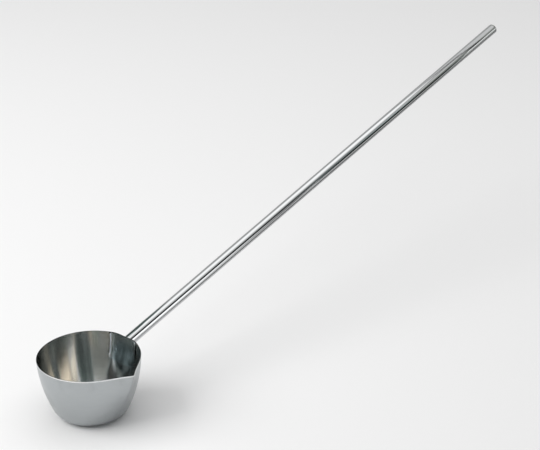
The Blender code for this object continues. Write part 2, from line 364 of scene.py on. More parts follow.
@cache
def hairline_scratches() -> bpy.types.NodeTree:
    """Sparse fine scratches in three directions.

    Returns:
        A group with the scratches as a Mask.
    """
    directions = ((0.3, 0.2, 0.5), (1.1, 0.7, 2.0), (2.2, 1.6, 1.2))
    stretch, softness = 0.03, 0.06
    clear_level, amount_share = 0.84, 0.16
    tree, given, made = new_group(
        "hairline_scratches", {"Fineness": 2600.0, "Amount": 0.5, "Seed": 0.0}, {"Mask": "NodeSocketFloat"}
    )
    place = object_place(tree)
    drop = calculate(tree, "MULTIPLY", given.outputs["Amount"], amount_share)
    level = calculate(tree, "SUBTRACT", clear_level, drop)
    limits = (level, calculate(tree, "ADD", level, softness))
    scale = add_node(tree, "ShaderNodeCombineXYZ")
    feed(tree, scale.inputs["X"], calculate(tree, "MULTIPLY", given.outputs["Fineness"], stretch))
    feed(tree, scale.inputs["Y"], given.outputs["Fineness"])
    feed(tree, scale.inputs["Z"], given.outputs["Fineness"])
    total: object = 0.0
    for turn in directions:
        mapping = add_node(tree, "ShaderNodeMapping")
        feed(tree, mapping.inputs["Vector"], place)
        feed(tree, mapping.inputs["Rotation"], turn)
        feed(tree, mapping.inputs["Scale"], scale.outputs[0])
        streaks = noise(tree, shifted(tree, mapping.outputs[0], given.outputs["Seed"]), 1.0, 0.0)
        total = calculate(tree, "MAXIMUM", total, spread(tree, streaks, limits, (0.0, 1.0)))
    feed(tree, made.inputs["Mask"], total)
    return tree


@cache
def heat_tint() -> bpy.types.NodeTree:
    """Temper colours round a weld: straw at the edge, then brown and blue.

    Returns:
        A group with the Tint that multiplies the steel's colour.
    """
    clean, scaly = (1.0, 1.0, 1.0, 1.0), (0.62, 0.62, 0.64, 1.0)
    straw, brown, blue = (1.0, 0.93, 0.78, 1.0), (0.86, 0.7, 0.55, 1.0), (0.62, 0.66, 0.8, 1.0)
    blotch_scale, blotch_octaves = 220.0, 2.0
    blotch_noise, blotch_heat = (0.2, 0.8), (0.75, 1.2)
    tree, given, made = new_group("heat_tint", {"Heat": 0.0, "Seed": 0.0}, {"Tint": "NodeSocketColor"})
    place = shifted(tree, object_place(tree), given.outputs["Seed"])
    uneven = spread(tree, noise(tree, place, blotch_scale, blotch_octaves), blotch_noise, blotch_heat)
    ramp = add_node(tree, "ShaderNodeValToRGB")
    feed(tree, ramp.inputs[0], calculate(tree, "MULTIPLY", given.outputs["Heat"], uneven))
    stops = ramp.color_ramp.elements
    stops[0].color = clean
    stops[1].color = scaly
    for heat, colour in ((0.3, straw), (0.55, brown), (0.75, blue)):
        stops.new(heat).color = colour
    feed(tree, made.inputs["Tint"], ramp.outputs[0])
    return tree


@cache
def painted_reflection_patch() -> bpy.types.NodeTree:
    """A painted dark reflection: a teal-grey darkening inside the bowl, on its +X side.

    Returns:
        A group with the patch as a Mask.
    """
    waver_scale, waver_octaves, waver_middle = 110.0, 2.0, 0.5
    tree, given, made = new_group(
        "painted_reflection_patch",
        {"Aside": -0.003, "Height": 0.055, "Core": 0.016, "Reach": 0.034, "Waver": 0.006},
        {"Mask": "NodeSocketFloat"},
    )
    place = object_place(tree)
    x, y, z = axes_of(tree, place)
    aside = calculate(tree, "SUBTRACT", y, given.outputs["Aside"])
    above = calculate(tree, "SUBTRACT", z, given.outputs["Height"])
    uneven = calculate(tree, "SUBTRACT", noise(tree, place, waver_scale, waver_octaves), waver_middle)
    gap = calculate(tree, "MULTIPLY_ADD", uneven, given.outputs["Waver"], distance(tree, aside, above))
    patch = spread(tree, gap, (given.outputs["Core"], given.outputs["Reach"]), (1.0, 0.0))
    handle_side = calculate(tree, "GREATER_THAN", x, 0.0)
    feed(tree, made.inputs["Mask"], calculate(tree, "MULTIPLY", patch, handle_side))
    return tree


# Finishes


@dataclass(frozen=True)
class SteelFinish:
    """Bare stainless steel, as one way of working leaves it."""

    name: str
    colour: Colour
    roughness: float
    anisotropy: float = 0.0
    lines: float = 3000.0
    breaks: float = 4.0
    grain_depth: float = 2e-6
    grain_dulling: float = 0.04
    tone: float = 0.04
    haze: float = 0.4
    haze_patches: float = 22.0
    haze_dulling: float = 0.05
    haze_shade: float = 0.0
    scratches: float = 0.3
    scratch_depth: float = 4e-6
    seed: float = 0.0

    def group(self, tree: bpy.types.NodeTree, group: bpy.types.NodeTree, **values: object) -> bpy.types.Node:
        """Places a node group in the material.

        Args:
            tree: the material's node tree.
            group: the node group.
            values: its inputs by name.

        Returns:
            The group node.
        """
        node = add_node(tree, "ShaderNodeGroup", node_tree=group)
        for name, value in {"Seed": self.seed, **values}.items():
            feed(tree, node.inputs[name], value)
        return node

    def with_painted_darkening(self, tree: bpy.types.NodeTree, colour: bpy.types.NodeSocket) -> bpy.types.NodeSocket:
        """The steel's colour with its painted darkening, which is none here."""
        return colour

    def build(self) -> bpy.types.Material:
        """Makes the material.

        Returns:
            The material, with grain, haze, scratches and heat tint.
        """
        material = bpy.data.materials.new(self.name)
        material.use_nodes = True
        tree = material.node_tree
        shader = tree.nodes["Principled BSDF"]
        grain = self.group(tree, turned_grain(), Lines=self.lines, Breaks=self.breaks)
        haze = self.group(tree, handling_haze(), Patches=self.haze_patches, Amount=self.haze)
        marks = self.group(tree, hairline_scratches(), Amount=self.scratches)
        warmth = add_node(tree, "ShaderNodeAttribute", attribute_name=HEAT)
        tint = self.group(tree, heat_tint(), Heat=warmth.outputs["Fac"])

        shade = spread(tree, grain.outputs["Tone"], NOISE_BAND, (1.0 - self.tone, 1.0 + self.tone))
        shade = calculate(tree, "MULTIPLY_ADD", haze.outputs["Mask"], -self.haze_shade, shade)
        steel = multiplied(tree, 1.0, scaled(tree, self.colour, shade), tint.outputs["Tint"])
        feed(tree, shader.inputs["Base Color"], self.with_painted_darkening(tree, steel))

        dulling = calculate(tree, "MULTIPLY_ADD", grain.outputs["Tone"], self.grain_dulling, self.roughness)
        dulling = calculate(tree, "MULTIPLY_ADD", haze.outputs["Mask"], self.haze_dulling, dulling)
        feed(tree, shader.inputs["Roughness"], dulling)

        depth = calculate(tree, "MULTIPLY", grain.outputs["Height"], self.grain_depth)
        depth = calculate(tree, "MULTIPLY_ADD", marks.outputs["Mask"], -self.scratch_depth, depth)
        bump = add_node(tree, "ShaderNodeBump")
        feed(tree, bump.inputs["Distance"], 1.0)
        feed(tree, bump.inputs["Height"], depth)
        feed(tree, shader.inputs["Normal"], bump.outputs[0])

        shader.inputs["Metallic"].default_value = 1.0
        shader.inputs["Anisotropic"].default_value = self.anisotropy
        shader.inputs["Anisotropic Rotation"].default_value = ACROSS_THE_TURN
        tangent = add_node(tree, "ShaderNodeTangent", direction_type="RADIAL", axis="Z")
        feed(tree, shader.inputs["Tangent"], tangent.outputs[0])
        return material


@dataclass(frozen=True)
class ReflectionPaintedFinish(SteelFinish):
    """Steel with a painted dark reflection, darkened in a patch near the handle's seat."""

    # Colour that the painted dark reflection multiplies the steel by, in the patch
    painted_reflection_colour: Colour = (0.50, 0.57, 0.61)

    def with_painted_darkening(self, tree: bpy.types.NodeTree, colour: bpy.types.NodeSocket) -> bpy.types.NodeSocket:
        """The steel's colour, darkened in the patch as a painted dark reflection.

        Args:
            tree: the material's node tree.
            colour: the clean steel's colour.

        Returns:
            The darkened colour.
        """
        patch = add_node(tree, "ShaderNodeGroup", node_tree=painted_reflection_patch())
        return multiplied(tree, patch.outputs["Mask"], colour, (*self.painted_reflection_colour, 1.0))


@dataclass(frozen=True)
class GapShadedFinish(ReflectionPaintedFinish):
    """Such steel with painted shade in the gap round a plate that lies against it."""

    plate_side: float = 0.0253
    gap: float = 0.0009
    foot: float = 0.0510
    foot_fade: float = 0.0008
    painted_gap_shade: float = 0.9

    def with_painted_darkening(self, tree: bpy.types.NodeTree, colour: bpy.types.NodeSocket) -> bpy.types.NodeSocket:
        """The steel's colour, darkened by painted shade in the gap.

        Args:
            tree: the material's node tree.
            colour: the clean steel's colour.

        Returns:
            The colour with the painted gap shade.
        """
        x, y, z = axes_of(tree, object_place(tree))
        aside = calculate(tree, "ABSOLUTE", y)
        # Painted shade: a dark band just outside the plate's sides, in the gap between plate and wall
        painted_gap_shade = spread(tree, aside, (self.plate_side, self.plate_side + self.gap), (self.painted_gap_shade, 0.0))
        above_foot = spread(tree, z, (self.foot, self.foot + self.foot_fade), (0.0, 1.0))
        painted_gap_shade = calculate(tree, "MULTIPLY", painted_gap_shade, above_foot)
        painted_gap_shade = calculate(tree, "MULTIPLY", painted_gap_shade, calculate(tree, "GREATER_THAN", x, 0.0))
        clear = calculate(tree, "SUBTRACT", 1.0, painted_gap_shade)
        return scaled(tree, super().with_painted_darkening(tree, colour), clear)


SATIN_OUTSIDE = SteelFinish(
    "satin_drawn_steel", (0.445, 0.468, 0.478), 0.30, anisotropy=0.4, lines=1800.0, tone=0.012,
    grain_depth=1.5e-6, haze=0.7, haze_patches=26.0, haze_dulling=0.06, haze_shade=0.12, scratches=0.25,
    scratch_depth=2e-6, seed=3.0,
)
# Its dark gap band is painted shade, and its teal-grey patch is a painted dark reflection
BRIGHT_INSIDE = GapShadedFinish(
    "bright_turned_steel", (0.66, 0.67, 0.665), 0.14, anisotropy=0.8, lines=3200.0, tone=0.03,
    grain_depth=5e-7, grain_dulling=0.02, haze=0.35, haze_dulling=0.03, scratches=0.2, scratch_depth=8e-7,
    seed=11.0,
)
# The rim in two painted copies of its steel: near-black on its inner rounding and top as painted shade,
# bright on its outer rounding as a painted highlight
RIM_TOP_SHADE = SteelFinish(
    "rim_top_painted_shade_steel", (0.15, 0.155, 0.16), 0.24, lines=5000.0, grain_depth=1e-6, scratches=0.3, seed=13.0
)
RIM_EDGE_HIGHLIGHT = SteelFinish(
    "deburred_rim_painted_highlight_steel", (0.82, 0.83, 0.84), 0.16, lines=5000.0, grain_depth=1e-6, scratches=0.5, seed=17.0
)
# Its teal-grey patch is a painted dark reflection
ROLLED_PLATE = ReflectionPaintedFinish(
    "rolled_plate_steel", (0.57, 0.63, 0.64), 0.19, anisotropy=0.5, lines=4200.0, tone=0.03, grain_depth=5e-7,
    haze=0.5, haze_patches=40.0, haze_dulling=0.04, scratches=0.3, scratch_depth=8e-7, seed=23.0,
)
# A sheared edge whose bright, rough colour paints a highlight; it goes on the plate's +Y edge only
SHEARED_EDGE_HIGHLIGHT = SteelFinish(
    "sheared_edge_painted_highlight_steel", (0.84, 0.89, 0.95), 0.90, anisotropy=0.5, lines=6000.0, tone=0.05, grain_depth=2e-6,
    haze=0.3, haze_patches=120.0, scratches=0.1, scratch_depth=1e-6, seed=29.0,
)
MIRROR_TUBE = SteelFinish(
    "mirror_tube_steel", (0.56, 0.57, 0.575), 0.055, anisotropy=0.3, lines=1500.0, tone=0.015,
    grain_depth=1e-7, grain_dulling=0.02, haze=0.3, haze_dulling=0.02, scratches=0.2, scratch_depth=2e-7,
    seed=31.0,
)
TURNED_CAP = SteelFinish(
    "turned_cap_steel", (0.58, 0.59, 0.60), 0.13, anisotropy=0.6, lines=6000.0, tone=0.04, grain_depth=5e-7,
    haze=0.2, scratches=0.2, scratch_depth=5e-7, seed=41.0,
)
# Tack beads in lit and shaded copies: a bright one that paints a highlight on the beads at +Y, and a
# near-black one below that paints shade on the beads at -Y
TACK_HIGHLIGHT = SteelFinish(
    "tack_bead_painted_highlight_steel", (0.84, 0.88, 0.92), 0.50, lines=2600.0, tone=0.05, grain_depth=2e-6, haze=0.4,
    haze_patches=200.0, haze_dulling=0.08, scratches=0.1, seed=47.0,
)
TACK_SHADE = SteelFinish(
    "tack_bead_painted_shade_steel", (0.05, 0.058, 0.062), 0.30, lines=2600.0, tone=0.08, grain_depth=2e-6, haze=0.4,
    haze_patches=200.0, haze_dulling=0.08, scratches=0.1, seed=49.0,
)
WELD_METAL = SteelFinish(
    "weld_bead_steel", (0.46, 0.45, 0.44), 0.36, lines=2000.0, tone=0.08, grain_depth=4e-6, haze=0.7,
    haze_patches=160.0, haze_dulling=0.12, scratches=0.2, seed=53.0,
)


# Meshes


def even_angles(count: int) -> np.ndarray:
    """Angles spread evenly over a full turn, from zero."""
    return np.arange(count) * math.tau / count


def unit(vectors: np.ndarray) -> np.ndarray:
    """Vectors brought to length one, with the axes last."""
    return vectors / np.linalg.norm(vectors, axis=-1, keepdims=True)


def ring_points(angles: np.ndarray, radius: np.ndarray | float, height: np.ndarray | float) -> np.ndarray:
    """Points round the Z axis.

    Args:
        angles: angles round the axis.
        radius: distances from the axis.
        height: heights along the axis.

    Returns:
        Points, with the axes last.
    """
    return np.stack(np.broadcast_arrays(radius * np.cos(angles), radius * np.sin(angles), height), axis=-1)


def rectangle(width: float, height: float) -> tuple[list[Point], list[tuple[int, ...]]]:
    """A flat rectangle round the origin.

    Args:
        width: its size along X.
        height: its size along Y.

    Returns:
        Its corners and its one face.
    """
    across, up = width / 2, height / 2
    return [(-across, -up, 0.0), (across, -up, 0.0), (across, up, 0.0), (-across, up, 0.0)], [(0, 1, 2, 3)]


def new_mesh(name: str, points: Sequence[Sequence[float]], faces: Sequence[Sequence[int]]) -> bpy.types.Mesh:
    """A mesh of points and faces.

    Args:
        name: the mesh's name.
        points: its points.
        faces: its faces, as numbers of points.

    Returns:
        The mesh.
    """
    mesh = bpy.data.meshes.new(name)
    mesh.from_pydata(points, [], faces)
    return mesh


def new_object(name: str, data: bpy.types.ID) -> bpy.types.Object:
    """An object in the scene.

    Args:
        name: the object's name.
        data: its mesh, lamp or camera.

    Returns:
        The object.
    """
    added = bpy.data.objects.new(name, data)
    bpy.context.scene.collection.objects.link(added)
    return added


def ring_faces(rings: int, around: int, closed: bool) -> list[tuple[int, int, int, int]]:
    """Quads between neighbouring rings of equal count.

    Args:
        rings: the number of rings.
        around: the vertices in each ring.
        closed: whether the last ring joins the first.

    Returns:
        The faces as vertex numbers.
    """
    faces = []
    for ring in range(rings if closed else rings - 1):
        lower, upper = ring * around, (ring + 1) % rings * around
        for step in range(around):
            after = (step + 1) % around
            faces.append((lower + step, lower + after, upper + after, upper + step))
    return faces


def ringed_mesh(
    name: str, rings: np.ndarray, start: Sequence[float] | None = None, end: Sequence[float] | None = None
) -> bpy.types.Object:
    """A closed skin through a stack of rings.

    Args:
        name: the object's name.
        rings: points by ring, step round the ring, and axis.
        start: the point that closes the first ring, or None to join the last ring to the first.
        end: the point that closes the last ring.

    Returns:
        A smooth object, with its normals outwards.
    """
    count, around, _ = rings.shape
    verts = rings.reshape(-1, 3).tolist()
    faces: list[tuple[int, ...]] = list(ring_faces(count, around, start is None))
    for pole, first in ((start, 0), (end, (count - 1) * around)):
        if pole is None:
            continue
        verts.append(list(pole))
        faces += [(first + step, first + (step + 1) % around, len(verts) - 1) for step in range(around)]
    return closed_object(name, new_mesh(name, verts, faces))


def closed_object(name: str, mesh: bpy.types.Mesh) -> bpy.types.Object:
    """An object in the scene from a closed mesh.

    Args:
        name: the object's name.
        mesh: the mesh, whose faces may point either way.

    Returns:
        The object, smooth but for its sharp edges, with its normals outwards.
    """
    shape = bmesh.new()
    shape.from_mesh(mesh)
    bmesh.ops.recalc_face_normals(shape, faces=shape.faces)
    shape.to_mesh(mesh)
    shape.free()
    mesh.shade_smooth()
    mesh.set_sharp_from_angle(angle=SHARP_ANGLE)
    return new_object(name, mesh)


def points_of(piece: bpy.types.Object) -> np.ndarray:
    """The places of a piece's vertices.

    Args:
        piece: the piece.

    Returns:
        Points in the frame, one row each.
    """
    places = np.empty(len(piece.data.vertices) * 3)
    piece.data.vertices.foreach_get("co", places)
    turn = np.array(piece.matrix_world)
    return places.reshape(-1, 3) @ turn[:3, :3].T + turn[:3, 3]


def warm(piece: bpy.types.Object, sources: np.ndarray, reach: float) -> None:
    """Stores how hot each vertex got, for the heat tint.

    Args:
        piece: the piece.
        sources: points along the welds.
        reach: the distance at which the heat has died out.
    """
    gaps = np.linalg.norm(points_of(piece)[:, None, :] - sources[None, :, :], axis=2).min(axis=1)
    attribute = piece.data.attributes.new(HEAT, "FLOAT", "POINT")
    attribute.data.foreach_set("value", np.clip(1.0 - gaps / reach, 0.0, 1.0).astype(np.float32))


def fit(piece: bpy.types.Object, node: str) -> None:
    """Sets a finished piece on the frame, in place of a CAD node.

    Args:
        piece: the piece, in place.
        node: the node that it stands for.
    """
    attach(piece, BODY)
    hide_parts(node)
    LOG.info("%s: %d faces in place of %s", piece.name, len(piece.data.polygons), node)


def wrapped(angle: np.ndarray) -> np.ndarray:
    """Angles brought to half a turn either side of zero."""
    return (angle + math.pi) % math.tau - math.pi


def smooth_step(share: np.ndarray) -> np.ndarray:
    """0 below 0, 1 above 1, and an even S between them."""
    share = np.clip(share, 0.0, 1.0)
    return share * share * (3.0 - 2.0 * share)


# Sub-assemblies


@dataclass(frozen=True)
class WallForm:
    """The bowl's wall: a barrelled cup, drawn out at the lip and pressed in at the handle's seat."""

    rim_diameter: float = 0.140
    height: float = 0.0863
    rim_taper: float = math.radians(2.5)
    bow_radius: float = 0.200
    corner_radius: float = 0.0225
    sheet: float = 0.0012
    lip_azimuth: float = math.radians(-90.0)
    lip_reach: float = 0.015
    lip_spread: float = 0.0153
    lip_depth: float = 0.072
    lip_nose_radius: float = 0.001
    lip_toe_radius: float = 0.016
    seat_width: float = 0.047
    seat_height: float = 0.035
    seat_flattening: float = 0.0012
    seat_fade: float = 0.025

    @property
    def rim_radius(self) -> float:
        """Half the rim's diameter."""
        return self.rim_diameter / 2

    @property
    def bow_centre(self) -> np.ndarray:
        """Centre of the wall's bow, as radius and height."""
        across, up = math.cos(self.rim_taper), math.sin(self.rim_taper)
        return np.array((self.rim_radius - self.bow_radius * across, self.height + self.bow_radius * up))

    @property
    def corner_angle(self) -> float:
        """Angle below the horizontal at which the bow runs into the round corner."""
        gap = self.bow_radius - self.corner_radius
        return math.asin((self.bow_centre[1] - self.corner_radius) / gap)

    @property
    def corner_centre(self) -> np.ndarray:
        """Centre of the round corner, as radius and height."""
        gap = self.bow_radius - self.corner_radius
        return np.array((self.bow_centre[0] + gap * math.cos(self.corner_angle), self.corner_radius))

    def lip_shift(self, azimuth: np.ndarray, depth: np.ndarray) -> np.ndarray:
        """How far the lip draws the wall out.

        Args:
            azimuth: angles round the bowl.
            depth: depths below the rim.

        Returns:
            Outward shifts: a crease with hollow flanks, dying out downwards.
        """
        down = np.clip(depth / self.lip_depth, 0.0, 1.0)
        nose = self.lip_nose_radius + (self.lip_toe_radius - self.lip_nose_radius) * down ** 3
        aside = self.rim_radius * wrapped(azimuth - self.lip_azimuth)
        flank = np.exp((nose - np.hypot(aside, nose)) / self.lip_spread)
        return self.lip_reach * flank * (1.0 - down) * (1.0 - down ** 3)

    def seat_shift(self, azimuth: np.ndarray, depth: np.ndarray) -> np.ndarray:
        """How far the handle's seat is pressed in.

        Args:
            azimuth: angles round the bowl.
            depth: depths below the rim.

        Returns:
            Outward shifts, positive where the wall springs out beside the seat.
        """
        turn = np.minimum(np.abs(wrapped(azimuth)) * self.rim_diameter / self.seat_width, 2.0)
        fade = 1.0 - smooth_step((depth - self.seat_height) / self.seat_fade)
        window = 0.5 + 0.5 * np.cos(math.pi * turn / 2.0)
        return -self.seat_flattening * np.cos(math.pi * turn) * window * fade

    def shift(self, azimuth: np.ndarray, height: np.ndarray) -> np.ndarray:
        """How far the formed wall stands outside the turned one, by angle and height."""
        depth = self.height - height
        return self.lip_shift(azimuth, depth) + self.seat_shift(azimuth, depth)

    def radius(self, height: np.ndarray, offset: float) -> np.ndarray:
        """Radius of the turned wall.

        Args:
            height: heights above the base.
            offset: how far outside the wall's outer surface.

        Returns:
            The radii.
        """
        bow, corner = self.bow_radius + offset, self.corner_radius + offset
        below_bow, below_corner = self.bow_centre[1] - height, self.corner_radius - height
        join = self.bow_centre[1] - bow * math.sin(self.corner_angle)
        upper = self.bow_centre[0] + np.sqrt(np.maximum(bow ** 2 - below_bow ** 2, 0.0))
        lower = self.corner_centre[0] + np.sqrt(np.maximum(corner ** 2 - below_corner ** 2, 0.0))
        return np.where(height > join, upper, lower)

    def point(self, azimuth: np.ndarray, height: np.ndarray, offset: float) -> np.ndarray:
        """Points on the formed wall.

        Args:
            azimuth: angles round the bowl.
            height: heights above the base.
            offset: how far outside the wall's outer surface.

        Returns:
            Points, with the axes last.
        """
        return ring_points(azimuth, self.radius(height, offset) + self.shift(azimuth, height), height)

    def normal(self, azimuth: np.ndarray, height: np.ndarray, offset: float) -> np.ndarray:
        """Unit normals of the formed wall.

        Args:
            azimuth: angles round the bowl.
            height: heights above the base.
            offset: how far outside the wall's outer surface.

        Returns:
            The normals, outwards, with the axes last.
        """
        step = PROBE_STEP
        turn = self.point(azimuth + step, height, offset) - self.point(azimuth - step, height, offset)
        rise = self.point(azimuth, height + step, offset) - self.point(azimuth, height - step, offset)
        return unit(np.cross(turn, rise))


@dataclass(frozen=True)
class HandleForm:
    """Where the handle's tube runs and how thick it is."""

    wall: WallForm
    length: float = 0.900
    drop: float = 0.0116
    rise: float = math.radians(14.0)
    tube_diameter: float = 0.016
    tube_wall: float = 0.001
    cap_head: float = 0.0035
    seam: float = 0.0003
    bisections: int = 40

    @property
    def radius(self) -> float:
        """The tube's outer radius."""
        return self.tube_diameter / 2

    @property
    def axis(self) -> Matrix:
        """The handle's own frame.

        Returns:
            A matrix with X along the bowl's +Y, Y upwards and Z out along the tube.
        """
        way = Vector((math.cos(self.rise), 0.0, math.sin(self.rise)))
        side = Vector((0.0, 1.0, 0.0))
        over = way.cross(side)
        start = self.wall.point(np.float64(0.0), np.float64(self.wall.height - self.drop), 0.0)
        return Matrix((
            (side.x, over.x, way.x, start[0]),
            (side.y, over.y, way.y, start[1]),
            (side.z, over.z, way.z, start[2]),
            (0.0, 0.0, 0.0, 1.0),
        ))

    def to_frame(self, points: np.ndarray) -> np.ndarray:
        """Points of the handle's own frame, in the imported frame."""
        turn = np.array(self.axis)
        return points @ turn[:3, :3].T + turn[:3, 3]

    def foot(self, angles: np.ndarray, radius: float, offset: float) -> np.ndarray:
        """Where straight lines along the tube meet the bowl's wall.

        Args:
            angles: angles round the tube.
            radius: the lines' distance from the tube's axis.
            offset: how far outside the wall's outer surface.

        Returns:
            Points in the handle's own frame.
        """
        near = np.full(angles.shape, -self.tube_diameter)
        far = np.full(angles.shape, self.tube_diameter)
        for _ in range(self.bisections):
            middle = (near + far) / 2
            place = self.to_frame(ring_points(angles, radius, middle))
            around = np.arctan2(place[..., 1], place[..., 0])
            wall = self.wall.radius(place[..., 2], offset) + self.wall.shift(around, place[..., 2])
            inside = np.hypot(place[..., 0], place[..., 1]) < wall
            near, far = np.where(inside, middle, near), np.where(inside, far, middle)
        return ring_points(angles, radius, near)


@dataclass
class Bowl:
    """The drawn bowl: one sheet with a bright inside, a satin outside and a deburred rim, painted dark along
    its top and bright along its outer rounding.
    """

    wall: WallForm
    inner_rounding: float = 0.0002
    outer_rounding: float = 0.0005
    columns: int = 320
    lip_crowding: float = 0.8
    wall_rows: int = 60
    corner_rows: int = 22
    base_rows: int = 8
    rim_rows: int = 4

    def azimuths(self) -> np.ndarray:
        """Angles of the columns, crowded towards the lip."""
        turn = even_angles(self.columns) - math.pi
        return self.wall.lip_azimuth + turn - self.lip_crowding * np.sin(turn)

    def inner_profile(self) -> np.ndarray:
        """Half section of the inner surface.

        Returns:
            Radius and height by row, from beside the base's centre up to the rim.
        """
        wall, offset = self.wall, -self.wall.sheet
        corner, bow = wall.corner_radius + offset, wall.bow_radius + offset
        base = np.linspace(0.0, wall.corner_centre[0], self.base_rows, endpoint=False)[1:]
        rows = [np.stack((base, np.full(base.shape, -offset)), axis=-1)]
        angles = np.linspace(math.pi / 2, wall.corner_angle, self.corner_rows, endpoint=False)
        rows.append(wall.corner_centre + corner * np.stack((np.cos(angles), -np.sin(angles)), axis=-1))
        angles = np.linspace(wall.corner_angle, wall.rim_taper, self.wall_rows)
        rows.append(wall.bow_centre + bow * np.stack((np.cos(angles), -np.sin(angles)), axis=-1))
        return np.concatenate(rows)

    def inner_surface(self) -> tuple[np.ndarray, np.ndarray]:
        """The formed inner surface.

        Returns:
            Points and outward unit normals, by row and column.
        """
        profile, azimuth = self.inner_profile(), self.azimuths()[None, :]
        radius = profile[:, :1] + self.wall.shift(azimuth, profile[:, 1:])
        points = ring_points(azimuth, radius, profile[:, 1:])
        along = np.gradient(points, axis=0)
        around = np.roll(points, -1, axis=1) - np.roll(points, 1, axis=1)
        return points, unit(np.cross(around, along))

    def rim(self, points: np.ndarray, normals: np.ndarray) -> np.ndarray:
        """The rounded edge of the sheet.

        Args:
            points: the inner surface.
            normals: its outward normals.

        Returns:
            Rings from the inner side over the top to the outer side.
        """
        upwards = unit(points[-1] - points[-2])
        inner, outer = self.inner_rounding, self.outer_rounding
        rings = []
        for reach, centre, side in ((inner, inner, -1.0), (outer, self.wall.sheet - outer, 1.0)):
            turns = np.linspace(0.0, math.pi / 2, self.rim_rows + 1)
            for turn in turns if side < 0.0 else turns[::-1]:
                out = centre + side * reach * math.cos(turn)
                rings.append(points[-1] + out * normals[-1] - reach * (1.0 - math.sin(turn)) * upwards)
        return np.stack(rings)

    def dress(self, bowl: bpy.types.Object, starts: np.ndarray) -> None:
        """Puts on a finish each for the inside, the rim's inner rounding and top with their painted shade,
        the rim's outer rounding with its painted highlight, and the outside.

        Args:
            bowl: the bowl, with the outer base's centre as its last vertex.
            starts: the rings at which the second, the third and the fourth finish start.
        """
        for finish in (BRIGHT_INSIDE, RIM_TOP_SHADE, RIM_EDGE_HIGHLIGHT, SATIN_OUTSIDE):
            bowl.data.materials.append(finish.build())
        last = len(bowl.data.vertices) - 1
        for polygon in bowl.data.polygons:
            ring = min(polygon.vertices) // self.columns
            under_base = max(polygon.vertices) == last
            polygon.material_index = len(starts) if under_base else int(np.sum(ring >= starts))

    def build(self) -> bpy.types.Object:
        """Makes the bowl.

        Returns:
            The bowl, dressed.
        """
        points, normals = self.inner_surface()
        rim = self.rim(points, normals)
        outside = points + self.wall.sheet * normals
        rings = np.concatenate((points[:-1], rim, outside[-2::-1]))
        bowl = ringed_mesh("drawn_bowl", rings, (0.0, 0.0, self.wall.sheet), (0.0, 0.0, 0.0))
        inside = len(points) - 1
        self.dress(bowl, np.array((inside, inside + self.rim_rows + 1, inside + len(rim))))
        return bowl


